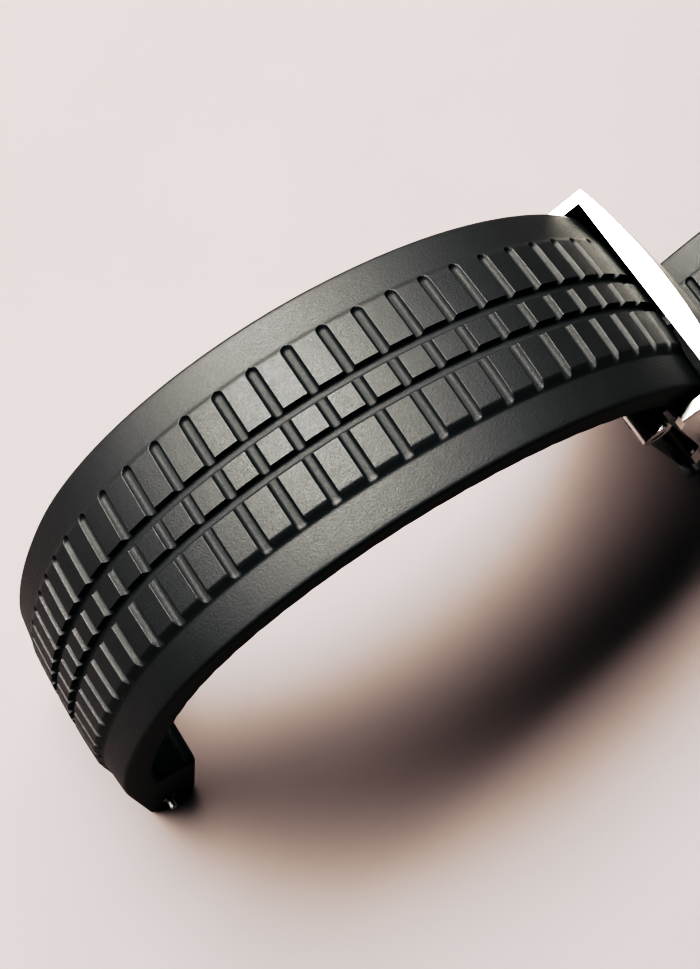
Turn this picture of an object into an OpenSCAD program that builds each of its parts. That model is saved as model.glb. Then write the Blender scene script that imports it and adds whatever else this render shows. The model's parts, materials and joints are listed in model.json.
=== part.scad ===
// Silicone watch strap with a folding clasp, in millimetres, +Z up.
// The strap stands as it is laid down: the long half arches from its lug end
// to the clasp, the clasp leans on its far end, and the short half arches on
// from there. The origin is at the bottom centre of the whole strap's box.
// X runs along the strap, from the long half's lug end to the short half's.

/* [Strap] */
// Width of both strap halves
strap_w = 19.8; // [19:0.1:20.1]
// Thickness of the smooth side borders
border_t = 3.45; // [2.8:0.05:4]
// Height of the block tops above the smooth borders
relief_h = 0.65; // [0.4:0.05:0.9]
// Pitch of the transverse grooves
pitch = 3.2; // [2.8:0.1:3.4]
// Width of a groove at its top
groove_w = 0.9; // [0.5:0.05:1.2]
// Depth of a groove
groove_d = 0.45; // [0.2:0.05:0.6]
// Half width of the raised block field
field_hw = 6.2; // [5:0.1:7]
// Distance of the two lengthwise grooves from the middle
column_y = 1.6; // [1.2:0.1:2.4]

/* [Lug ends] */
// Total thickness of a lug end at its inner shelf
lug_shelf_t = 7.4; // [6:0.1:8]
// Total thickness of a lug end at its tip
lug_tip_t = 5.8; // [5:0.1:7]
// Length of the thick lug end
lug_l = 13.4; // [10:0.1:14]
// Distance of the spring bar from the lug end's tip
lug_bar_s = 3; // [2.4:0.1:5]

/* [Shape as laid down] */
// Heading of the long half where it leaves its lug end, in degrees above +X
lug_heading = 88; // [80:1:90]
// Heading of the short half where it leaves the clasp, in degrees above +X
short_heading = 30; // [24:0.5:31]
// Turn of the short half over its curved stretch, in degrees
short_turn = 52.5; // [45:0.5:65]

/* [Clasp] */
// Length of the clasp cover
cover_l = 29; // [28:0.1:29.2]
// Outer width of the clasp cover
cover_w = 23; // [23:0.1:24]
// Thickness of the cover's side walls
wall_t = 1; // [0.9:0.1:1.3]
// Rise of the cover's top across its width
dome_rise = 1.2; // [0.8:0.1:1.8]
// Half width of the two blades
blade_hw = 9.6; // [8:0.1:9.8]
// Thickness of the middle blade
mid_t = 1; // [0.8:0.1:1]
// Thickness of the lower blade
low_t = 1.1; // [0.9:0.1:1.1]
// Travel of a push button
button_travel = 0.8; // [0.5:0.1:0.8]

/* [Spring bars] */
// Radius of a spring bar's tube
bar_r = 0.9; // [0.8:0.05:0.9]
// Radius of a spring bar's tip
tip_r = 0.4; // [0.35:0.05:0.45]
// Half length of a spring bar, tip to middle
bar_hl = 11.1; // [10.8:0.1:11.3]

/* [Hidden] */
$fn = 48;

silicone = [0.13, 0.13, 0.14];
steel = [0.8, 0.81, 0.82];
bright = [0.9, 0.9, 0.9];

// ---- the centre line: a chain of arcs, each [length, turn in degrees] ----
function stepped(q, L, T, d) = T == 0
    ? [q[0] + d * cos(q[2]), q[1] + d * sin(q[2]), q[2]]
    : let (R = L * 180 / (PI * T), a = q[2] + T * d / L)
      [q[0] + R * (sin(a) - sin(q[2])), q[1] - R * (cos(a) - cos(q[2])), a];
function along(arcs, s, q, i = 0) =
    s <= arcs[i][0] || i == len(arcs) - 1
    ? stepped(q, arcs[i][0], arcs[i][1], s)
    : along(arcs, s - arcs[i][0], stepped(q, arcs[i][0], arcs[i][1], arcs[i][0]), i + 1);
// the point at length s and height h over the centre line
function at(path, s, h) = let (q = along(path[1], s, path[0]))
    [q[0] - sin(q[2]) * h, q[1] + cos(q[2]) * h];

// heights over the centre line's surface
top_h = relief_h - 0.25;
edge_h = -0.25;
low_h = edge_h - border_t;
floor_h = top_h - groove_d;

// long half: from its lug end to the clasp's mouth, then into the clasp
bar_u = 3.5;
long_arcs = [[4.5 * pitch, 0], [3 * pitch, -14], [5 * pitch, -15],
             [5 * pitch, -34], [5 * pitch, -30.5], [5 * pitch, -25],
             [5 * pitch, -21.5], [pitch + bar_u, -17]];
long_len = 33.5 * pitch;
long_grooves = [for (i = [3 : 33]) (i + 0.5) * pitch];
long0 = [[0, 0, lug_heading], long_arcs];

// the clasp's own frame: u runs into the clasp and w points outwards; its
// origin is at the mouth, short of where the long half's centre line ends
pivot0 = along(long_arcs, long_len + bar_u, [0, 0, lug_heading]);
clasp_a = -pivot0[2];
mouth0 = [pivot0[0] - bar_u * cos(clasp_a), pivot0[1] + bar_u * sin(clasp_a)];
function placed(o, u, w) = [o[0] + u * cos(clasp_a) + w * sin(clasp_a),
                            o[1] - u * sin(clasp_a) + w * cos(clasp_a)];

// places in the clasp's frame, [u, w]
pivot_h = (edge_h + low_h) / 2;
p_long = [bar_u, pivot_h];          // spring bar of the long half
p_cover = [26.2, -4.7];             // cover to middle blade
p_blades = [-1.5, -6.35];           // middle blade to lower blade
p_short = [32.6, -3];               // spring bar of the short half
p_button = [14, -2.4];              // push buttons
knuckle_r = 1.5;
mid_top = -4.2;
low_bot = -7.9;

// short half: from its spring bar to its lug end
short_len = 76.8;
short_arcs = [[6, 0], [short_len - 6 - 14.4, -short_turn], [14.4, 0]];
short_grooves = [for (i = [2 : 20]) 4 + i * pitch - 2.2];
ps0 = placed(mouth0, p_short[0], p_short[1]);
short0 = [[ps0[0] + sin(short_heading) * pivot_h,
           ps0[1] - cos(short_heading) * pivot_h, short_heading], short_arcs];

// lug end in [length, height], from a tip at length 0
function lug_outline(L) = [
    [0, edge_h - 0.7], [0, -lug_tip_t + edge_h + 1.1],
    [0.3, -lug_tip_t + edge_h + 0.4], [1.1, -lug_tip_t + edge_h],
    [L - 1.3, -lug_shelf_t + edge_h], [L - 0.4, -lug_shelf_t + edge_h + 0.25],
    [L, -lug_shelf_t + edge_h + 0.9], [L - 0.2, low_h - 0.9],
    [L + 0.1, low_h - 0.25], [L + 0.8, low_h + 0.06], [L + 0.9, low_h + 1],
    [L + 0.9, edge_h - 0.5], [1, edge_h - 0.5]];

// box of the whole strap as laid down, which sets the origin
long_x = at(long0, 2.2 * pitch + 0.5, top_h)[0];
ear_r = 2.4;
lowest = min(concat([ps0[1] - ear_r],
    [for (q = lug_outline(lug_l)) at(long0, q[0], q[1])[1]],
    [for (q = lug_outline(lug_l)) at(short0, short_len - q[0], q[1])[1]]));
short_tip_x = max([for (q = lug_outline(lug_l)) at(short0, short_len - q[0], q[1])[0]]);
ox = -(long_x + short_tip_x) / 2;
oz = -lowest;

long_path = [[ox, oz, lug_heading], long_arcs];
mouth = [mouth0[0] + ox, mouth0[1] + oz];
short_path = [[short0[0][0] + ox, short0[0][1] + oz, short_heading], short_arcs];

echo(mouth = mouth, clasp_a = clasp_a);
echo(bars = [at(long_path, lug_bar_s, -3), placed(mouth, p_long[0], p_long[1]),
             placed(mouth, p_short[0], p_short[1]),
             at(short_path, short_len - lug_bar_s, -3)]);
echo(pins = [placed(mouth, p_cover[0], p_cover[1]),
             placed(mouth, p_blades[0], p_blades[1])],
     button = placed(mouth, p_button[0], p_button[1]));
echo(low = [min([for (q = lug_outline(lug_l)) at(long_path, q[0], q[1])[1]]),
            placed(mouth, p_short[0], p_short[1])[1] - ear_r,
            min([for (q = lug_outline(lug_l)) at(short_path, short_len - q[0], q[1])[1]])],
     x = [long_x + ox, short_tip_x + ox]);

// ---- strap halves ----
// a slab along the path, between two heights, s0 to s1, across y0 to y1
module across(y0, y1) {
    translate([0, y1, 0]) rotate([90, 0, 0]) linear_extrude(height = y1 - y0)
        children();
}
function rail(path, s0, s1, h) = let (n = max(1, ceil((s1 - s0) / 1.6)))
    [for (i = [0 : n]) at(path, s0 + (s1 - s0) * i / n, h)];
function turned(v) = [for (i = [len(v) - 1 : -1 : 0]) v[i]];
module slab(path, s0, s1, h0, h1, y0, y1) {
    across(y0, y1) polygon(concat(rail(path, s0, s1, h1),
                                  turned(rail(path, s0, s1, h0))));
}
// block field: the slab's top is notched by every transverse groove
module field(path, s0, s1, grooves) {
    g = [for (s = grooves) if (s > s0 + groove_w && s < s1 - groove_w) s];
    top = concat([at(path, s0, edge_h - 0.2), at(path, s0 + 0.5, top_h)],
        [for (s = g) each [at(path, s - pitch / 2, top_h),
                           at(path, s - groove_w / 2, top_h),
                           at(path, s - groove_w / 2 + 0.12, floor_h),
                           at(path, s + groove_w / 2 - 0.12, floor_h),
                           at(path, s + groove_w / 2, top_h)]],
        [at(path, s1 - 0.5, top_h), at(path, s1, edge_h - 0.2)]);
    difference() {
        across(-field_hw, field_hw)
            polygon(concat(top, turned(rail(path, s0, s1, edge_h - 0.7))));
        for (c = [-1, 1])
            slab(path, s0 - 1, s1 + 1, floor_h - 0.07, top_h + 1,
                 c * column_y - groove_w / 2, c * column_y + groove_w / 2);
    }
}
module cross_hole(p, r) {
    translate([p[0], 0, p[1]]) rotate([90, 0, 0])
        cylinder(r = r, h = strap_w + 4, center = true);
}

module strap_long() {
    color(silicone) difference() {
        union() {
            slab(long_path, 0.7, long_len + bar_u - 0.3, low_h, edge_h,
                 -strap_w / 2, strap_w / 2);
            across(-strap_w / 2, strap_w / 2)
                polygon([for (q = lug_outline(lug_l)) at(long_path, q[0], q[1])]);
            field(long_path, 2.2 * pitch, long_len + 0.8, long_grooves);
            translate([placed(mouth, p_long[0], 0)[0], 0, placed(mouth, p_long[0], 0)[1]])
                rotate([0, clasp_a, 0]) translate([0, 0, pivot_h]) rotate([90, 0, 0])
                    cylinder(r = border_t / 2 - 0.03, h = strap_w - 0.1, center = true);
        }
        cross_hole(at(long_path, lug_bar_s, -3), bar_r + 0.05);
        cross_hole(placed(mouth, p_long[0], p_long[1]), bar_r + 0.05);
    }
}

module strap_short() {
    p = placed(mouth, p_short[0], p_short[1]);
    color(silicone) difference() {
        union() {
            slab(short_path, 0.3, short_len - 0.7, low_h, edge_h,
                 -strap_w / 2, strap_w / 2);
            across(-strap_w / 2, strap_w / 2)
                polygon([for (q = lug_outline(lug_l)) at(short_path, short_len - q[0], q[1])]);
            field(short_path, 3.2, short_len - 2.2 * pitch, short_grooves);
            translate([p[0], 0, p[1]]) rotate([90, 0, 0])
                cylinder(r = border_t / 2 - 0.03, h = strap_w - 0.1, center = true);
        }
        cross_hole(p, bar_r + 0.05);
        cross_hole(at(short_path, short_len - lug_bar_s, -3), bar_r + 0.05);
    }
}

// ---- clasp, drawn in its own frame and set on the strap ----
module in_clasp() {
    translate([mouth[0], 0, mouth[1]]) rotate([0, clasp_a, 0]) children();
}
module y_cyl(p, r, y0, y1) {
    translate([p[0], y1, p[1]]) rotate([90, 0, 0]) cylinder(r = r, h = y1 - y0);
}
module brick(u0, u1, y0, y1, w0, w1) {
    translate([u0, y0, w0]) cube([u1 - u0, y1 - y0, w1 - w0]);
}

cover_u0 = -0.6;
cover_u1 = cover_u0 + cover_l;
cover_under = top_h + 0.1;
cover_top = 3.3;
wall_low = -6.2;
bulge_r = 150;
dome_r = (pow(cover_w / 2, 2) + dome_rise * dome_rise) / (2 * dome_rise);

module clasp_cover() {
    hw = cover_w / 2;
    color(steel) in_clasp() difference() {
        intersection() {
            brick(cover_u0, cover_u1, -hw, hw, wall_low, cover_top + 1);
            // crowned across and, more gently, along
            translate([(cover_u0 + cover_u1) / 2, 0, cover_top - bulge_r])
                rotate([90, 0, 0]) rotate_extrude($fn = 360)
                    translate([bulge_r - dome_r, 0]) circle(r = dome_r, $fn = 240);
        }
        // the channel between the side walls
        brick(cover_u0 - 1, cover_u1 - 1, -hw + wall_t, hw - wall_t, wall_low - 1,
              cover_under);
        brick(cover_u1 - 2, cover_u1 + 1, -hw + wall_t, hw - wall_t, wall_low - 1, -2);
        // the walls stop over the blades' barrel at the mouth, and deepen round
        // the hinge pin at the back
        across(-hw - 1, hw + 1)
            polygon([[cover_u0 - 1, -3.9], [1.2, -3.9], [2.6, -4.6], [20.4, -4.6],
                     [22, -5.2], [23.4, wall_low], [23.4, -8], [cover_u0 - 1, -8]]);
        across(-hw - 1, hw + 1)
            polygon([[cover_u1 + 1, -4.2], [cover_u1, -4.2], [cover_u1 - 0.7, -5.6],
                     [cover_u1 - 1.8, wall_low], [cover_u1 - 1.8, -8],
                     [cover_u1 + 1, -8]]);
        y_cyl(p_long, tip_r + 0.05, -hw - 1, hw + 1);
        y_cyl(p_cover, 0.72, -hw - 1, hw + 1);
        y_cyl(p_button, 0.98, -hw - 1, hw + 1);
        for (c = [-1, 1])
            y_cyl(p_button, 1.9, c > 0 ? hw - 0.4 : -hw - 1, c > 0 ? hw + 1 : -hw + 0.4);
    }
    // post between the two button springs
    color(steel) in_clasp() brick(p_button[0] - 1.2, p_button[0] + 1.2, -0.5, 0.5,
                                  p_button[1] - 1.4, cover_under + 0.4);
}

module blade_middle() {
    pb = p_button[0];
    color(bright) in_clasp() difference() {
        union() {
            brick(0.55, p_cover[0], -blade_hw, blade_hw, mid_top - mid_t, mid_top);
            // tongue that slopes down to the barrel, clear of the strap
            across(-4, 4)
                polygon([[1, mid_top], [1, mid_top - mid_t], p_blades,
                         p_blades + [0, knuckle_r - 0.03],
                         p_blades + [0.9, knuckle_r - 0.03]]);
            y_cyl(p_blades, knuckle_r, -4, 4);
            y_cyl(p_cover, 1.6, -cover_w / 2 + wall_t + 0.2, cover_w / 2 - wall_t - 0.2);
        }
        // window that the buttons' hooks reach through
        brick(pb - 3.6, pb + 3.6, -7, 7, mid_top - mid_t - 1, mid_top + 1);
        brick(20.6, 23.4, -5, 5, mid_top - mid_t - 1, mid_top + 1);
        y_cyl(p_blades, 0.8, -5, 5);
        y_cyl(p_cover, 0.76, -12, 12);
    }
}

module blade_lower() {
    ear_in = cover_w / 2 - wall_t;
    ear_out = cover_w / 2 - 0.1;
    e = p_short[0];
    pb = p_button[0];
    barrel_hw = cover_w / 2 - 0.1;
    color(bright) in_clasp() difference() {
        union() {
            brick(0.3, e - 3.9, -blade_hw, blade_hw, low_bot, low_bot + low_t);
            for (c = [-1, 1]) {
                y0 = c > 0 ? 4.15 : -blade_hw;
                y1 = c > 0 ? blade_hw : -4.15;
                brick(p_blades[0], 0.9, y0, y1, low_bot, low_bot + low_t);
                // outer part of the barrel, as wide as the cover
                y_cyl(p_blades, knuckle_r, c > 0 ? y0 : -barrel_hw,
                      c > 0 ? barrel_hw : y1);
                // catch with an inward lip for a button's hook
                a0 = c > 0 ? 6.6 : -7.6;
                brick(pb - 1.6, pb + 1.6, a0, a0 + 1, low_bot + 0.4, -5.6);
                brick(pb - 1.6, pb + 1.6, c > 0 ? 6.4 : -7, c > 0 ? 7 : -6.4, -6, -5.6);
                // ear that holds the short half's spring bar
                e0 = c > 0 ? ear_in : -ear_out;
                across(e0, e0 + ear_out - ear_in)
                    polygon([[e - 4.3, low_bot], [e - 3.1, low_bot], [e + 1.6, -4.8],
                             [e, -3], [e - 2.35, -2.6], [e - 2.8, -5.6],
                             [e - 4.3, low_bot + low_t]]);
                y_cyl(p_short, ear_r, e0, e0 + ear_out - ear_in);
            }
            // cross bar that carries the ears
            brick(e - 5.9, e - 3.1, -ear_out, ear_out, low_bot, low_bot + low_t);
        }
        for (c = [-1, 1]) y_cyl(p_blades, 0.76, c > 0 ? 4 : -12, c > 0 ? 12 : -4);
        y_cyl(p_short, tip_r + 0.05, -12, 12);
        // lightening slot
        brick(19.5, 24, -4, 4, low_bot - 1, low_bot + low_t + 1);
    }
}

module hinge_pin_cover() {
    color(steel) in_clasp()
        y_cyl(p_cover, 0.7, -cover_w / 2 + 0.1, cover_w / 2 - 0.1);
}
module hinge_pin_blades() {
    color(steel) in_clasp() y_cyl(p_blades, 0.74, -cover_w / 2 + 0.2, cover_w / 2 - 0.2);
}

// push button: head, stem, arm, leg and the hook's nose; c is the side
module button(c) {
    hw = cover_w / 2;
    head = hw - 0.35 + button_travel;
    pb = p_button[0];
    module span(u0, u1, y0, y1, w0, w1)
        brick(u0, u1, c > 0 ? y0 : -y1, c > 0 ? y1 : -y0, w0, w1);
    module round_span(r, y0, y1)
        y_cyl(p_button, r, c > 0 ? y0 : -y1, c > 0 ? y1 : -y0);
    color(steel) in_clasp() union() {
        // the head stands off its recess in the wall by the button's travel
        round_span(1.8, head, head + 0.45);
        round_span(1.55, head + 0.35, head + 0.6);
        round_span(0.92, 9.4, head + 0.15);
        span(pb - 1.4, pb + 1.4, 5.6, hw - wall_t - 0.05, -3.5, -1.3);
        span(pb - 1.4, pb + 1.4, 5.2, 6, -6.6, -2);
        span(pb - 1.4, pb + 1.4, 5.2, 6.3, -6.6, -6.1);
        round_span(0.55, 4.6, 5.7);
    }
}
module button_far() { button(1); }
module button_near() { button(-1); }

// coil of round wire along y, as a swept tube
function coil_point(c, yc0, yc1, turns, r, t) =
    [c[0] + r * cos(360 * turns * t), yc0 + (yc1 - yc0) * t,
     c[1] + r * sin(360 * turns * t)];
module coil(c, y0, y1, turns, r, wire, per_turn = 8, sides = 4) {
    n = turns * per_turn;
    pts = [for (i = [0 : n]) coil_point(c, y0 + wire, y1 - wire, turns, r, i / n)];
    v = [for (i = [0 : n]) let (
            t = 360 * turns * i / n,
            d = pts[min(n, i + 1)] - pts[max(0, i - 1)],
            e = d / norm(d),
            nr = [cos(t), 0, sin(t)],
            b = cross(e, nr))
         each [for (k = [0 : sides - 1])
             pts[i] + wire * (cos(360 * k / sides) * nr + sin(360 * k / sides) * b)]];
    f = concat([[for (k = [0 : sides - 1]) k]],
        [for (i = [0 : n - 1], k = [0 : sides - 1]) let (k1 = (k + 1) % sides)
            each [[i * sides + k, (i + 1) * sides + k, (i + 1) * sides + k1],
                  [i * sides + k, (i + 1) * sides + k1, i * sides + k1]]],
        [[for (k = [sides - 1 : -1 : 0]) n * sides + k]]);
    polyhedron(v, f);
}
module button_spring_far() {
    color(bright) in_clasp() coil(p_button, 0.55, 5.15, 5, 0.85, 0.15);
}
module button_spring_near() {
    color(bright) in_clasp() coil(p_button, -5.15, -0.55, 5, 0.85, 0.15);
}

// ---- spring bars, lengthwise along y, about the point p in X and Z ----
tube_hl = 8.3;
module bar_at(p) { translate([p[0], 0, p[1]]) children(); }
module bar_tube(p) {
    color(steel) bar_at(p) rotate([90, 0, 0]) difference() {
        cylinder(r = bar_r, h = 2 * tube_hl, center = true, $fn = 28);
        cylinder(r = bar_r - 0.14, h = 2 * tube_hl - 1.2, center = true, $fn = 20);
        cylinder(r = bar_r - 0.23, h = 2 * tube_hl + 1, center = true, $fn = 20);
    }
}
// tip with its head inside the tube and a collar outside it; c is the side
module bar_tip(p, c) {
    color(bright) bar_at(p) rotate([c > 0 ? -90 : 90, 0, 0]) {
        translate([0, 0, tube_hl - 1.3]) cylinder(r = bar_r - 0.18, h = 0.65, $fn = 20);
        translate([0, 0, tube_hl - 0.9])
            cylinder(r = bar_r - 0.28, h = strap_w / 2 - tube_hl + 0.75, $fn = 20);
        translate([0, 0, strap_w / 2 - 0.2])
            cylinder(r = tip_r, h = bar_hl - strap_w / 2 + 0.05, $fn = 24);
        translate([0, 0, bar_hl - 0.15])
            cylinder(r1 = tip_r, r2 = tip_r - 0.15, h = 0.15, $fn = 24);
        translate([0, 0, strap_w / 2 - 0.28]) cylinder(r = 0.78, h = 0.3, $fn = 24);
    }
}
module bar_spring(p) {
    color(bright) coil(p, -tube_hl + 1.35, tube_hl - 1.35, 11, 0.42, 0.1, 7, 3);
}

p_ll = at(long_path, lug_bar_s, -3);
p_ls = at(short_path, short_len - lug_bar_s, -3);
p_cl = placed(mouth, p_long[0], p_long[1]);
p_cs = placed(mouth, p_short[0], p_short[1]);

module lug_bar_long_tube() { bar_tube(p_ll); }
module lug_bar_long_tip_far() { bar_tip(p_ll, 1); }
module lug_bar_long_tip_near() { bar_tip(p_ll, -1); }
module lug_bar_long_spring() { bar_spring(p_ll); }
module lug_bar_short_tube() { bar_tube(p_ls); }
module lug_bar_short_tip_far() { bar_tip(p_ls, 1); }
module lug_bar_short_tip_near() { bar_tip(p_ls, -1); }
module lug_bar_short_spring() { bar_spring(p_ls); }
module clasp_bar_long_tube() { bar_tube(p_cl); }
module clasp_bar_long_tip_far() { bar_tip(p_cl, 1); }
module clasp_bar_long_tip_near() { bar_tip(p_cl, -1); }
module clasp_bar_long_spring() { bar_spring(p_cl); }
module clasp_bar_short_tube() { bar_tube(p_cs); }
module clasp_bar_short_tip_far() { bar_tip(p_cs, 1); }
module clasp_bar_short_tip_near() { bar_tip(p_cs, -1); }
module clasp_bar_short_spring() { bar_spring(p_cs); }

strap_long();
strap_short();
clasp_cover();
blade_middle();
blade_lower();
hinge_pin_cover();
hinge_pin_blades();
button_far();
button_near();
button_spring_far();
button_spring_near();
lug_bar_long_tube();
lug_bar_long_tip_far();
lug_bar_long_tip_near();
lug_bar_long_spring();
lug_bar_short_tube();
lug_bar_short_tip_far();
lug_bar_short_tip_near();
lug_bar_short_spring();
clasp_bar_long_tube();
clasp_bar_long_tip_far();
clasp_bar_long_tip_near();
clasp_bar_long_spring();
clasp_bar_short_tube();
clasp_bar_short_tip_far();
clasp_bar_short_tip_near();
clasp_bar_short_spring();
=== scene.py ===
# Silicone watch strap with a folding clasp, on a pale table.
import json
import math
import bmesh
import bpy
import numpy as np
from mathutils import Matrix, Vector


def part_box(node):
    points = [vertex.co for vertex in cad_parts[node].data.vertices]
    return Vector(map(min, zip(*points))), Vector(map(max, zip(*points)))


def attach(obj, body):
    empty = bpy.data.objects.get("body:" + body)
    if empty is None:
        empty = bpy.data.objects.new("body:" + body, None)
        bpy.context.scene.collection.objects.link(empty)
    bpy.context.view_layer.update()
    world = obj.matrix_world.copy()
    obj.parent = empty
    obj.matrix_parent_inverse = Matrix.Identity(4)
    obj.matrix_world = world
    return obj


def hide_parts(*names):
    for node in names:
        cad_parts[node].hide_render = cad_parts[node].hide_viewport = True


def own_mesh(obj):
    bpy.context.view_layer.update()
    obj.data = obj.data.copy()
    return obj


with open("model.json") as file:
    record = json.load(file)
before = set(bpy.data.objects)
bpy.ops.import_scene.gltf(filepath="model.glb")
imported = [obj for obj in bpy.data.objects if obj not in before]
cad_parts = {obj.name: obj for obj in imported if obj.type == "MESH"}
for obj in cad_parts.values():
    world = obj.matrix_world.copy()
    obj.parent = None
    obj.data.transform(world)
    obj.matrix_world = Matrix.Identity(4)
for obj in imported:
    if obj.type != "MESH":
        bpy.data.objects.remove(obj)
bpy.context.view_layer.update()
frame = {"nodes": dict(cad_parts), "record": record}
N = frame["nodes"]
scene = bpy.context.scene
MM = 0.001

# ------------------------------------------------------------------ shape
# The same arc chains as the CAD model: [length, turn in degrees], in mm.
PITCH = 3.2
LUG_HEADING = 88.0
LONG_ARCS = [[4.5 * PITCH, 0], [3 * PITCH, -14], [5 * PITCH, -15], [5 * PITCH, -34],
             [5 * PITCH, -30.5], [5 * PITCH, -25], [5 * PITCH, -21.5], [PITCH + 3.5, -17]]
LONG_LEN = 33.5 * PITCH
HALF_W = 9.9
TOP_H = 0.40
EDGE_H = -0.25
LOW_H = -3.70
FLOOR_H = -0.05
PIVOT_H = (EDGE_H + LOW_H) / 2
LUG_SHELF_T, LUG_TIP_T, LUG_L = 7.4, 5.8, 13.4
SHORT_LEN = 76.8
SHORT_HEADING = 30.0
SHORT_ARCS = [[6, 0], [SHORT_LEN - 6 - 14.4, -52.5], [14.4, 0]]
P_SHORT = (32.6, -3.0)


def stepped(q, length, turn, d):
    x, z, a0 = q
    if turn == 0:
        return (x + d * math.cos(math.radians(a0)), z + d * math.sin(math.radians(a0)), a0)
    r = length * 180 / (math.pi * turn)
    a1 = a0 + turn * d / length
    return (x + r * (math.sin(math.radians(a1)) - math.sin(math.radians(a0))),
            z - r * (math.cos(math.radians(a1)) - math.cos(math.radians(a0))), a1)


def along(arcs, s, q):
    for i, (length, turn) in enumerate(arcs):
        if s <= length or i == len(arcs) - 1:
            return stepped(q, length, turn, s)
        q = stepped(q, length, turn, length)
        s -= length


def at(path, s, h):
    x, z, a = along(path[1], s, path[0])
    return (x - math.sin(math.radians(a)) * h, z + math.cos(math.radians(a)) * h)


lug_low = min(at(((0, 0, LUG_HEADING), LONG_ARCS), s, h)[1]
              for s, h in ((0, EDGE_H - 0.7), (0, -LUG_TIP_T + EDGE_H + 1.1),
                           (0.3, -LUG_TIP_T + EDGE_H + 0.4), (1.1, -LUG_TIP_T + EDGE_H)))
X0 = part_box("strap_long")[0][0] / MM - at(((0, 0, LUG_HEADING), LONG_ARCS),
                                          2.2 * PITCH + 0.5, TOP_H)[0]
Z0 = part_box("strap_long")[0][2] / MM - lug_low
LONG = ((X0, Z0, LUG_HEADING), LONG_ARCS)
PIVOT = along(LONG_ARCS, LONG_LEN + 3.5, LONG[0])
CLASP_A = -PIVOT[2]
MOUTH = (PIVOT[0] - 3.5 * math.cos(math.radians(CLASP_A)),
         PIVOT[1] + 3.5 * math.sin(math.radians(CLASP_A)))
EU = np.array([math.cos(math.radians(CLASP_A)), 0, -math.sin(math.radians(CLASP_A))])
EW = np.array([math.sin(math.radians(CLASP_A)), 0, math.cos(math.radians(CLASP_A))])


def placed(u, w, y=0.0):
    """A point of the clasp's own frame, in mm, in the row frame in mm."""
    return np.array([MOUTH[0], y, MOUTH[1]]) + u * EU + w * EW


ps = placed(*P_SHORT)
SHORT = ((ps[0] + math.sin(math.radians(SHORT_HEADING)) * PIVOT_H,
          ps[2] - math.cos(math.radians(SHORT_HEADING)) * PIVOT_H, SHORT_HEADING), SHORT_ARCS)


def smooth(x, a, b):
    t = np.clip((np.asarray(x, float) - a) / (b - a), 0, 1)
    return t * t * (3 - 2 * t)


def lug_curve():
    """Underside of a lug end from its tip, as a rounded polyline in [length, height]."""
    def arc(cx, cy, r, a0, a1, n):
        return [(cx + r * math.cos(math.radians(a0 + (a1 - a0) * i / n)),
                 cy + r * math.sin(math.radians(a0 + (a1 - a0) * i / n))) for i in range(n + 1)]
    e = EDGE_H
    pts = [(0.0, -LUG_TIP_T + e + 1.3)]
    pts += arc(1.3, -LUG_TIP_T + e + 1.3, 1.3, 180, 263, 7)[1:]
    n = 16
    x0, y0 = pts[-1]
    x1, y1 = LUG_L - 1.25, -LUG_SHELF_T + e + 0.04
    pts += [(x0 + (x1 - x0) * i / n, y0 + (y1 - y0) * i / n) for i in range(1, n)]
    pts += arc(LUG_L - 1.1, -LUG_SHELF_T + e + 1.1, 1.08, 263, 368, 9)
    x0, y0 = pts[-1]
    x1, y1 = LUG_L - 0.15, LOW_H - 1.1
    pts += [(x0 + (x1 - x0) * i / 5, y0 + (y1 - y0) * i / 5) for i in range(1, 6)]
    pts += arc(LUG_L + 0.85, LOW_H - 1.0, 1.0, 184, 92, 7)[1:]
    pts += [(LUG_L + 1.4, LOW_H), (LUG_L + 2.2, LOW_H)]
    return np.array(pts)


class Curve:
    """A polyline looked up by its share of arc length."""

    def __init__(self, pts):
        self.p = np.asarray(pts, float)
        d = np.hypot(*np.diff(self.p, axis=0).T)
        self.t = np.concatenate([[0], np.cumsum(d)])
        self.t /= self.t[-1]

    def __call__(self, t):
        return np.interp(t, self.t, self.p[:, 0]), np.interp(t, self.t, self.p[:, 1])


def cross_lines():
    """Places across the strap, from the near edge to the far edge."""
    side = [9.9, 9.885, 9.84, 9.76, 9.66, 9.5]
    side += [9.1, 8.6, 8.0, 7.4, 6.95, 6.75]
    side += [6.62, 6.52, 6.44, 6.34, 6.24, 6.14, 6.04, 5.94, 5.86, 5.78, 5.7, 5.6, 5.45]
    side += [5.1, 4.6, 4.0, 3.4, 2.9, 2.5, 2.25]
    side += [2.16, 2.13, 2.11, 2.085, 2.055, 2.02, 1.98, 1.93, 1.87, 1.79, 1.7, 1.6, 1.5, 1.41, 1.33,
             1.27, 1.22, 1.18, 1.145, 1.115, 1.09, 1.07, 1.04, 0.95]
    side += [0.7, 0.35]
    return np.array([-v for v in side] + [0.0] + side[::-1])


GROOVE = [0.08, 0.16, 0.23, 0.29, 0.34, 0.385, 0.425, 0.46, 0.49, 0.515, 0.54, 0.58]


def row_lines(s0, s1, grooves, extra=()):
    """Places along the strap: dense at the grooves, wider between them."""
    v = set(extra)
    for g in grooves:
        v.add(round(g, 4))
        v.update(round(g + k * d, 4) for d in GROOVE for k in (-1, 1))
        v.update((round(g + 0.8, 4), round(g + 1.2, 4), round(g + 1.6, 4)))
    s = s0
    while s < s1:
        if all(abs(s - q) > 0.18 for q in grooves) or not grooves:
            if not grooves or min(abs(s - q) for q in grooves) > 1.65:
                v.add(round(s, 4))
        s += 0.32
    v.update((round(s0, 4), round(s1, 4)))
    out = sorted(x for x in v if s0 - 1e-6 <= x <= s1 + 1e-6)
    keep = [out[0]]
    for x in out[1:]:
        if x - keep[-1] > 0.018:
            keep.append(x)
    return np.array(keep)


def channel(d):
    """Depth share of a round-bottomed groove at a distance from its middle."""
    return np.clip(1 - (np.abs(d) / 0.52) ** 3.6, 0, 1)


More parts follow.
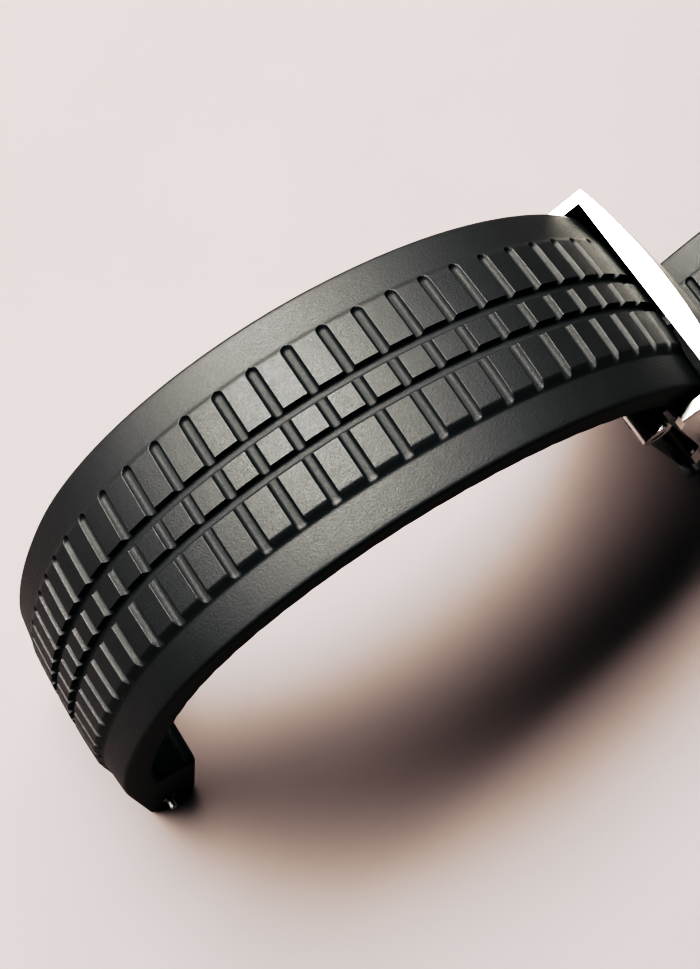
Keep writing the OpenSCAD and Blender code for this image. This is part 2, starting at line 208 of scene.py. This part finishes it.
def top_height(s, y, grooves, f0, f1, lengthwise=True):
    """Height of the outer face over the centre line."""
    ay = np.abs(y)
    border = -0.06 - np.where(y > 0, 0.24, 0.48) * (ay / 9.9) ** 2
    edge = np.where(ay > 9.5, 0.34 - np.sqrt(np.clip(0.34 ** 2 - (ay - 9.56).clip(0) ** 2, 0, None)), 0.0)
    border = border - edge
    plateau = TOP_H - 0.15 * (ay / 5.7) ** 2 + 0.03
    # a bevel on the near side of the blocks, and a long gentle slope on the far side
    t = 0.55 * smooth(ay, 6.62, 5.66) + 0.45 * np.clip((6.56 - ay) / 0.86, 0, 1)
    t = np.where(y > 0, 0.22 * smooth(y, 6.7, 6.1) + 0.78 * np.clip((9.5 - y) / 3.2, 0, 1), t)
    inside = smooth(s, f0 - 0.05, f0 + 0.62) * smooth(s, f1 + 0.05, f1 - 0.62)
    base = border + (plateau - border) * t * inside
    floor = FLOOR_H - 0.10 * (ay / 5.7) ** 2
    ye = 5.98
    over = np.clip(ay - ye, 0, None)
    cut = np.zeros_like(base)
    for g in grooves:
        near = np.abs(s - g) < 0.7
        if not np.any(near):
            continue
        d = np.sqrt((s - g) ** 2 + over ** 2)
        cut = np.maximum(cut, np.where(near, channel(d), 0))
    d = np.abs(ay - 1.6) if lengthwise else np.full_like(ay, 9.0)
    long_cut = channel(d) * 1.3 * ((s > f0 - 0.4) & (s < f1 + 0.4))
    cut = np.maximum(cut, long_cut)
    return base - cut * np.clip(base - floor, 0, None)


def strap_mesh(name, path, length, grooves, f0, f1, lug_first):
    """One strap half, as a closed loft over rows along the path.

    Rows run from the lug end's tip (r = 0) to the round end at the clasp."""
    y = cross_lines()
    ny = len(y)
    lug = Curve(lug_curve())
    rows = row_lines(0.5, length, [g if lug_first else length - g for g in grooves],
                     extra=[0.5, 0.62, 0.8, 1.0, 1.3])
    to_s = (lambda r: r) if lug_first else (lambda r: length - r)
    sgn = 1 if lug_first else -1
    span = 16.0
    low_y = np.array([9.9, 9.9, 9.87, 9.78, 9.6, 9.3, 8.6, 7.6, 6.2, 4.4, 2.2, 0.0])
    low_y = np.concatenate([low_y, -low_y[-2::-1]])
    low_up = np.interp(np.abs(low_y), [0, 9.3, 9.6, 9.78, 9.87, 9.9], [0, 0, 0.06, 0.17, 0.33, 0.62])
    low_up[0] = low_up[-1] = 0.62
    verts, deep, ring_n = [], [], None

    def add_row(pts, below=()):
        nonlocal ring_n
        verts.extend(pts)
        deep.extend(list(below) + [0.0] * (len(pts) - len(below)))
        ring_n = len(pts)

    def ring(s_top, h_top, s_low, h_low, inset=0.0):
        """One closed loop: outer face from near to far edge, side, inner face, side."""
        pts = []
        hw = HALF_W - inset
        k = hw / HALF_W
        for yy, h in zip(y, h_top):
            x, z = at(path, s_top, h)
            pts.append((x, yy * k, z))
        h_side = h_top[-1]
        s_at = lambda f: s_top + (s_low - s_top) * f
        h_lo = h_low + 0.62
        for f in (0.2, 0.4, 0.6, 0.8):
            x, z = at(path, s_at(f), h_side + (h_lo - h_side) * f)
            pts.append((x, hw, z))
        for yy, up in zip(low_y, low_up):
            x, z = at(path, s_low, h_low + up)
            pts.append((x, yy * k, z))
        for f in (0.8, 0.6, 0.4, 0.2):
            x, z = at(path, s_at(f), h_side + (h_lo - h_side) * f)
            pts.append((x, -hw, z))
        return pts

    # lug end's tip, rounded over its top edge and its sides
    flat = top_height(np.full(ny, to_s(0.5)), y, [], f0, f1)
    for k in range(4):
        a = math.radians(90 * k / 4)
        r_here = 0.5 * (1 - math.cos(a))
        drop = 0.5 * (1 - math.sin(a))
        inset = 0.35 * (1 - math.sin(a))
        t_low = 0.012 * k
        s_l, h_l = lug(t_low)
        add_row(ring(to_s(r_here), flat - drop, to_s(s_l), h_l, inset))
    for r in rows:
        if r <= span:
            t_low = 0.05 + 0.95 * (r - 0.5) / (span - 0.5)
            s_l, h_l = lug(t_low)
        else:
            s_l, h_l = r + (LUG_L + 2.2 - span) * max(0, 1 - (r - span) / 6), LOW_H
            # shallow ribs across the inner face
            ph = (s_l - LUG_L - 3.0) / PITCH
            rib = 0.5 - 0.5 * math.cos(2 * math.pi * ph)
            h_l += 0.12 * rib ** 3 * float(smooth(s_l, LUG_L + 2.6, LUG_L + 4.2)) \
                * float(smooth(s_l, length - 1.0, length - 3.0))
        s_t = to_s(r)
        h = top_height(np.full(ny, s_t), y, grooves, f0, f1)
        bare = top_height(np.full(ny, s_t), y, [], f0, f1, False)
        add_row(ring(s_t, h, to_s(s_l), h_l), bare - h)
    # round end about the clasp's spring bar
    rad = (EDGE_H - LOW_H) / 2
    h_end = top_height(np.full(ny, to_s(length)), y, grooves, f0, f1)
    for k in range(1, 11):
        a = math.radians(90 * k / 10 * 0.985)
        s_e = length + rad * math.sin(a)
        h_t = PIVOT_H + (h_end - PIVOT_H) * math.cos(a)
        add_row(ring(to_s(s_e), h_t, to_s(s_e), PIVOT_H + (LOW_H - PIVOT_H) * math.cos(a) - 0.62 * (1 - math.cos(a)) * 0))

    n = ring_n
    nr = len(verts) // n
    faces = []
    for i in range(nr - 1):
        for j in range(n):
            a, b = i * n + j, i * n + (j + 1) % n
            faces.append((a, b, b + n, a + n))
    faces.append(tuple(range(n - 1, -1, -1)))
    faces.append(tuple((nr - 1) * n + j for j in range(n)))
    me = bpy.data.meshes.new(name)
    me.from_pydata([(x * MM, yy * MM, z * MM) for x, yy, z in verts], [], faces)
    me.attributes.new("groove", "FLOAT", "POINT").data.foreach_set(
        "value", np.clip(np.array(deep) / 0.4, 0, 1).astype(np.float32))
    bm = bmesh.new()
    bm.from_mesh(me)
    bmesh.ops.remove_doubles(bm, verts=bm.verts, dist=4e-6)
    bmesh.ops.recalc_face_normals(bm, faces=bm.faces)
    bm.to_mesh(me)
    bm.free()
    for p in me.polygons:
        p.use_smooth = True
    me.update()
    ob = bpy.data.objects.new(name, me)
    scene.collection.objects.link(ob)
    return ob


long_grooves = [(i + 0.5) * PITCH for i in range(3, 33)]
short_grooves = [4 + i * PITCH - 2.2 for i in range(2, 21)]
long_ob = strap_mesh("strap_long_skin", LONG, LONG_LEN + 3.5, long_grooves,
                     2.2 * PITCH, LONG_LEN + 0.8, True)
short_grooves = [g for g in short_grooves if 3.2 + 0.9 < g < SHORT_LEN - 2.2 * PITCH - 0.9]
short_ob = strap_mesh("strap_short_skin", SHORT, SHORT_LEN, short_grooves,
                      3.2, SHORT_LEN - 2.2 * PITCH, False)


def bore(ob, centre, r, depth=40):
    """Cuts a round hole across the strap at centre, in mm."""
    me = bpy.data.meshes.new("bore_cutter")
    bm = bmesh.new()
    bmesh.ops.create_cone(bm, cap_ends=True, segments=40, radius1=r * MM, radius2=r * MM,
                          depth=depth * MM)
    bm.to_mesh(me)
    bm.free()
    cut = bpy.data.objects.new("bore_cutter", me)
    scene.collection.objects.link(cut)
    cut.matrix_world = Matrix.Translation(Vector((centre[0], centre[1], centre[2])) * MM) \
        @ Matrix.Rotation(math.pi / 2, 4, "X")
    mod = ob.modifiers.new("bore", "BOOLEAN")
    mod.operation = "DIFFERENCE"
    mod.object = cut
    mod.solver = "EXACT"
    bpy.context.view_layer.update()
    dg = bpy.context.evaluated_depsgraph_get()
    done = bpy.data.meshes.new_from_object(ob.evaluated_get(dg))
    ob.modifiers.clear()
    old = ob.data
    ob.data = done
    bpy.data.meshes.remove(old)
    bpy.data.objects.remove(cut)
    bpy.data.meshes.remove(me)


def xz(path, s, h):
    x, z = at(path, s, h)
    return (x, 0.0, z)


bore(long_ob, xz(LONG, 3.0, -3.0), 0.95)
bore(long_ob, xz(LONG, LONG_LEN + 3.5, PIVOT_H), 0.95)
bore(short_ob, xz(SHORT, SHORT_LEN - 3.0, -3.0), 0.95)
bore(short_ob, xz(SHORT, 0.0, PIVOT_H), 0.95)
for ob in (long_ob, short_ob):
    mod = ob.modifiers.new("edges", "EDGE_SPLIT")
    mod.split_angle = math.radians(50)
    mod.use_edge_sharp = False


# -------------------------------------------------------------- materials
def new_mat(name):
    m = bpy.data.materials.new(name)
    m.use_nodes = True
    nt = m.node_tree
    nt.nodes.clear()
    out = nt.nodes.new("ShaderNodeOutputMaterial")
    b = nt.nodes.new("ShaderNodeBsdfPrincipled")
    nt.links.new(b.outputs[0], out.inputs["Surface"])
    co = nt.nodes.new("ShaderNodeTexCoord")
    return m, nt, b, co.outputs["Object"]


def noise(nt, vec, scale, detail=3, rough=0.55, distort=0.0):
    n = nt.nodes.new("ShaderNodeTexNoise")
    n.inputs["Scale"].default_value = scale
    n.inputs["Detail"].default_value = detail
    n.inputs["Roughness"].default_value = rough
    n.inputs["Distortion"].default_value = distort
    nt.links.new(vec, n.inputs["Vector"])
    return n.outputs["Fac"]


def ramp(nt, fac, stops):
    r = nt.nodes.new("ShaderNodeValToRGB")
    nt.links.new(fac, r.inputs["Fac"])
    while len(r.color_ramp.elements) < len(stops):
        r.color_ramp.elements.new(0.5)
    for e, (p, c) in zip(r.color_ramp.elements, stops):
        e.position = p
        e.color = c if len(c) == 4 else (*c, 1)
    return r.outputs["Color"]


def maprange(nt, v, a, b, c, d):
    n = nt.nodes.new("ShaderNodeMapRange")
    nt.links.new(v, n.inputs["Value"])
    for k, x in zip(("From Min", "From Max", "To Min", "To Max"), (a, b, c, d)):
        n.inputs[k].default_value = x
    return n.outputs["Result"]


def bump(nt, height, strength, dist, normal=None):
    b = nt.nodes.new("ShaderNodeBump")
    b.inputs["Strength"].default_value = strength
    b.inputs["Distance"].default_value = dist
    nt.links.new(height, b.inputs["Height"])
    if normal is not None:
        nt.links.new(normal, b.inputs["Normal"])
    return b.outputs["Normal"]


def silicone_material():
    m, nt, b, co = new_mat("silicone")
    grain = noise(nt, co, 5600, 4, 0.65)
    mottle = noise(nt, co, 900, 3, 0.55)
    broad = noise(nt, co, 60, 2, 0.5)
    colour = ramp(nt, broad, [(0.3, (0.0045, 0.0047, 0.0050)), (0.7, (0.0075, 0.0075, 0.0078))])
    nt.links.new(colour, b.inputs["Base Color"])
    groove = nt.nodes.new("ShaderNodeAttribute")
    groove.attribute_name = "groove"
    # the rubbed tops are smoother than the grooves and the grain varies it
    total = maprange(nt, groove.outputs["Fac"], 0.2, 1.0, 0.0, 0.12)
    for part in (maprange(nt, mottle, 0.3, 0.7, -0.008, 0.008), maprange(nt, grain, 0.3, 0.7, -0.07, 0.07),
                 maprange(nt, broad, 0.3, 0.7, 0.575, 0.595)):
        mix = nt.nodes.new("ShaderNodeMath")
        mix.operation = "ADD"
        nt.links.new(total, mix.inputs[0])
        nt.links.new(part, mix.inputs[1])
        total = mix.outputs[0]
    nt.links.new(total, b.inputs["Roughness"])
    b.inputs["Specular IOR Level"].default_value = 0.48
    n1 = bump(nt, mottle, 0.03, 0.00003)
    n2 = bump(nt, grain, 1.0, 0.000026, n1)
    nt.links.new(n2, b.inputs["Normal"])
    return m


def steel_material(name, colour, rough, brush=None, scratch=0.5):
    m, nt, b, co = new_mat(name)
    spread = 1.0 if brush else 0.1
    b.inputs["Metallic"].default_value = 1.0
    soft = noise(nt, co, 260, 4, 0.5)
    fine = noise(nt, co, 2400, 4, 0.6)
    lo = [c * 0.93 for c in colour]
    nt.links.new(ramp(nt, soft, [(0.35, lo), (0.65, colour)]), b.inputs["Base Color"])
    stretch = nt.nodes.new("ShaderNodeMapping")
    stretch.inputs["Scale"].default_value = brush or (1, 1, 1)
    nt.links.new(co, stretch.inputs["Vector"])
    lines = noise(nt, stretch.outputs[0], 3000 if brush else 1800, 5, 0.65)
    add = nt.nodes.new("ShaderNodeMath")
    add.operation = "ADD"
    nt.links.new(maprange(nt, lines, 0.3, 0.7, rough - 0.03 * spread, rough + 0.05 * spread), add.inputs[0])
    nt.links.new(maprange(nt, fine, 0.35, 0.7, -0.015 * spread, 0.03 * spread), add.inputs[1])
    nt.links.new(add.outputs[0], b.inputs["Roughness"])
    n1 = bump(nt, lines, 0.05 * scratch * spread, 0.00001)
    n2 = bump(nt, soft, 0.02 * scratch * spread, 0.00005, n1)
    nt.links.new(n2, b.inputs["Normal"])
    return m


def paint_cover_shade_and_satin(mat):
    """Paints shade into the cover's colour: a darker colour in its channel, between its walls, which is painted
    shade, along with a rougher satin finish there; and a darker colour on the mouth's end face, which is
    painted shade that tones down its highlight.
    """
    nt = mat.node_tree
    b = next(n for n in nt.nodes if n.type == "BSDF_PRINCIPLED")
    co = next(n for n in nt.nodes if n.type == "TEX_COORD").outputs["Object"]
    dot = nt.nodes.new("ShaderNodeVectorMath")
    dot.operation = "DOT_PRODUCT"
    nt.links.new(co, dot.inputs[0])
    dot.inputs[1].default_value = tuple(EW)
    under = placed(0, 0.5 + 0.03) @ EW * MM
    low = maprange(nt, dot.outputs["Value"], under, under + 0.00004, 1.0, 0.0)
    split = nt.nodes.new("ShaderNodeSeparateXYZ")
    nt.links.new(co, split.inputs[0])
    side = nt.nodes.new("ShaderNodeMath")
    side.operation = "ABSOLUTE"
    nt.links.new(split.outputs["Y"], side.inputs[0])
    between = maprange(nt, side.outputs[0], 0.01053, 0.01057, 1.0, 0.0)
    # painted shade: this selects the channel's inside, under the top plate and between the walls, to darken its
    # colour; the same selection gives it a rougher satin finish
    channel_shade_and_satin_mask = nt.nodes.new("ShaderNodeMath")
    channel_shade_and_satin_mask.operation = "MULTIPLY"
    nt.links.new(low, channel_shade_and_satin_mask.inputs[0])
    nt.links.new(between, channel_shade_and_satin_mask.inputs[1])
    # painted shade: the mouth's end face gets a darker colour than the polished faces, which tones down the
    # lamp's highlight on it
    along_u = nt.nodes.new("ShaderNodeVectorMath")
    along_u.operation = "DOT_PRODUCT"
    nt.links.new(co, along_u.inputs[0])
    along_u.inputs[1].default_value = tuple(EU)
    mouth = placed(0, 0) @ EU * MM
    end = maprange(nt, along_u.outputs["Value"], mouth + 0.0002, mouth + 0.0004, 1.0, 0.0)
    # painted shade on the end face, painted shade in the channel, then the channel's satin roughness
    for name, value, where in (("Base Color", (0.34, 0.335, 0.315, 1), end),
                               ("Base Color", (0.16, 0.155, 0.15, 1), channel_shade_and_satin_mask.outputs[0]),
                               ("Roughness", (0.42, 0.42, 0.42, 1), channel_shade_and_satin_mask.outputs[0])):
        old = b.inputs[name].links[0].from_socket
        mix = nt.nodes.new("ShaderNodeMix")
        mix.data_type = "RGBA"
        nt.links.new(where, mix.inputs[0])
        nt.links.new(old, mix.inputs[6])
        mix.inputs[7].default_value = value
        nt.links.new(mix.outputs[2], b.inputs[name])


silicone = silicone_material()
polished = steel_material("polished_steel", (0.62, 0.61, 0.59), 0.18, None, 0.5)
blade = steel_material("blade_steel", (0.66, 0.655, 0.65), 0.20, (0.15, 1.0, 1.0), 1.0)
pin = steel_material("pin_steel", (0.50, 0.50, 0.50), 0.40, (1.0, 0.1, 1.0), 1.0)
wire_steel = steel_material("spring_steel", (0.50, 0.50, 0.51), 0.28, None, 1.0)


def paint(ob, mat):
    ob.data.materials.clear()
    ob.data.materials.append(mat)


paint(long_ob, silicone)
paint(short_ob, silicone)
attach(long_ob, "long_half")
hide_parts("strap_long")
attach(short_ob, "short_half")
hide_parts("strap_short")

SLOTS = {"silicone": silicone, "polished_steel": polished, "blade_steel": blade,
         "pin_steel": pin, "spring_steel": wire_steel}
slot_of = {p["node"]: p["material_slot"] for p in frame["record"]["subparts"]}
for name, ob in N.items():
    paint(ob, SLOTS[slot_of[name]])
cover_steel = steel_material("cover_steel", (0.62, 0.61, 0.59), 0.28, None, 0.5)
# painted shade inside the cover's channel and on its mouth face
paint_cover_shade_and_satin(cover_steel)
paint(N["clasp_cover"], cover_steel)


def round_edges(node, width, segments=3, angle=35):
    """Rounds a metal node's edges with a modifier, and shades it smooth between them."""
    ob = N[node]
    for p in ob.data.polygons:
        p.use_smooth = True
    mod = ob.modifiers.new("round", "BEVEL")
    mod.width = width
    mod.segments = segments
    mod.limit_method = "ANGLE"
    mod.angle_limit = math.radians(angle)
    mod.harden_normals = True
    return mod




def coil(name, node, body, y_fixed, y_free, turns, r, wire):
    """A round wire spring in place of a CAD one. In mm."""
    lo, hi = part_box(node)
    cx, cz = (lo[0] + hi[0]) / 2 / MM, (lo[2] + hi[2]) / 2 / MM
    n, sides = int(turns * 24), 8
    rise = y_free - math.copysign(wire, y_free) - y_fixed
    pts = []
    for i in range(n + 1):
        a = 2 * math.pi * turns * i / n
        pts.append(Vector((cx + r * math.cos(a), y_fixed + rise * i / n, cz + r * math.sin(a))))
    verts, faces = [], []
    for i in range(n + 1):
        a = 2 * math.pi * turns * i / n
        d = (pts[min(n, i + 1)] - pts[max(0, i - 1)]).normalized()
        out = Vector((math.cos(a), 0, math.sin(a)))
        side = d.cross(out).normalized()
        for k in range(sides):
            t = 2 * math.pi * k / sides
            verts.append((pts[i] + wire * (math.cos(t) * out + math.sin(t) * side)) * MM)
    for i in range(n):
        for k in range(sides):
            a, b = i * sides + k, i * sides + (k + 1) % sides
            faces.append((a, b, b + sides, a + sides))
    faces.append(tuple(range(sides)))
    faces.append(tuple(n * sides + k for k in reversed(range(sides))))
    me = bpy.data.meshes.new(name)
    me.from_pydata(verts, [], faces)
    bm = bmesh.new()
    bm.from_mesh(me)
    bmesh.ops.recalc_face_normals(bm, faces=bm.faces)
    bm.to_mesh(me)
    bm.free()
    for p in me.polygons:
        p.use_smooth = len(p.vertices) == 4
    ob = bpy.data.objects.new(name, me)
    scene.collection.objects.link(ob)
    paint(ob, wire_steel)
    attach(ob, body)
    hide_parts(node)
    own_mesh(ob)


for c, side in ((1, "far"), (-1, "near")):
    coil("button_coil_" + side, "button_spring_" + side, "clasp",
         c * (0.55 + 0.15), c * 5.15, 5, 0.85, 0.15)
    for bar, body in (("lug_bar_long", "long_half"), ("clasp_bar_long", "long_half"),
                      ("lug_bar_short", "short_half"), ("clasp_bar_short", "short_half")):
        coil("%s_coil_%s" % (bar, side), bar + "_spring", body,
             c * 0.0, c * 6.95, 5.5, 0.42, 0.1)

round_edges("clasp_cover", 0.00018)
round_edges("blade_middle", 0.00012)
round_edges("blade_lower", 0.00012)
round_edges("button_far", 0.0001, 2)
round_edges("button_near", 0.0001, 2)

# ------------------------------------------------------------------ stage
me = bpy.data.meshes.new("floor")
S = 2.0
me.from_pydata([(-S, -S, 0), (S, -S, 0), (S, S, 0), (-S, S, 0)], [], [(0, 1, 2, 3)])
floor = bpy.data.objects.new("floor", me)
scene.collection.objects.link(floor)
m, nt, b, co = new_mat("floor")
f1 = noise(nt, co, 24, 4, 0.55)
f2 = noise(nt, co, 420, 4, 0.6)
nt.links.new(ramp(nt, f1, [(0.3, (0.150, 0.122, 0.118)), (0.7, (0.162, 0.134, 0.131))]), b.inputs["Base Color"])
b.inputs["Roughness"].default_value = 0.62
b.inputs["Specular IOR Level"].default_value = 0.3
nt.links.new(bump(nt, f2, 0.12, 0.0001), b.inputs["Normal"])
paint(floor, m)

# ----------------------------------------------------------------- camera
# The camera's place relative to the long half's middle groove.
gx, gz = at(LONG, 17.5 * PITCH, 0)
cam_data = bpy.data.cameras.new("camera")
cam_data.sensor_fit = "HORIZONTAL"
cam_data.sensor_width = 36.0
cam_data.lens = 1484.2 / 700 * 36
cam_data.clip_start = 0.005
cam_data.clip_end = 20
cam = bpy.data.objects.new("camera", cam_data)
scene.collection.objects.link(cam)
right = Vector((0.8424, -0.5368, -0.0477)).normalized()
fwd = Vector((0.1205, 0.2738, -0.9541)).normalized()
up = right.cross(fwd).normalized()
right = fwd.cross(up).normalized()
pos = Vector((-2.70 + gx, -36.1, 158.1 - 49.3 + gz)) * MM
cam.matrix_world = Matrix(((right.x, up.x, -fwd.x, pos.x),
                           (right.y, up.y, -fwd.y, pos.y),
                           (right.z, up.z, -fwd.z, pos.z),
                           (0, 0, 0, 1)))
scene.camera = cam


# ----------------------------------------------------------------- lights
def area(name, direction, distance, size, power, colour=(1, 1, 1), target=(0, 0, 0.02), size_y=None):
    d = Vector(direction).normalized()
    li = bpy.data.lights.new(name, "AREA")
    li.energy = power
    li.color = colour
    li.shape = "RECTANGLE"
    li.size = size
    li.size_y = size_y or size
    ob = bpy.data.objects.new(name, li)
    scene.collection.objects.link(ob)
    ob.location = Vector(target) + d * distance
    ob.rotation_euler = (-d).to_track_quat("-Z", "Y").to_euler()
    return ob


# one long lamp that fades towards its ends, as three of different length
for i, (length, power) in enumerate(((0.6, 22.0), (1.3, 38.0), (2.5, 25.0))):
    area("strip_%d" % i, (-0.07, 0.402, 0.914), 0.9 + 0.004 * i, length, power,
         (1.0, 0.985, 0.965), size_y=0.35)
area("end_glow", (-0.70, 0.36, 0.60), 0.9, 0.45, 2.6, (1.0, 0.985, 0.97), size_y=0.25)
world = bpy.data.worlds.new("world")
scene.world = world
world.use_nodes = True
bg = world.node_tree.nodes["Background"]
bg.inputs["Color"].default_value = (0.86, 0.88, 0.90, 1)
bg.inputs["Strength"].default_value = 0.02

scene.view_settings.view_transform = "Standard"
scene.view_settings.look = "None"
# the picture's contrast: dark tones are held down and the lit table rolls off
scene.view_settings.use_curve_mapping = True
tone = scene.view_settings.curve_mapping
tone.use_clip = False
tone.extend = "EXTRAPOLATED"
curve = tone.curves[3]
curve.points[0].location = (0.0, 0.0)
curve.points[1].location = (1.0, 0.69)
for q in ((0.05, 0.003), (0.1, 0.012), (0.15, 0.032), (0.2, 0.066), (0.3, 0.165), (0.4, 0.29),
          (0.5, 0.415), (0.6, 0.515), (0.7, 0.58), (0.8, 0.625), (0.9, 0.66)):
    curve.points.new(*q)
# its colours: neutral darks, warmer middle tones
for k, points in ((0, ((0.02, 0.0145), (0.05, 0.041), (0.12, 0.112), (0.3, 0.3))),
                  (2, ((0.03, 0.030), (0.2, 0.200), (0.42, 0.400), (0.6, 0.592), (0.8, 0.8)))):
    for q in points:
        tone.curves[k].points.new(*q)
tone.update()
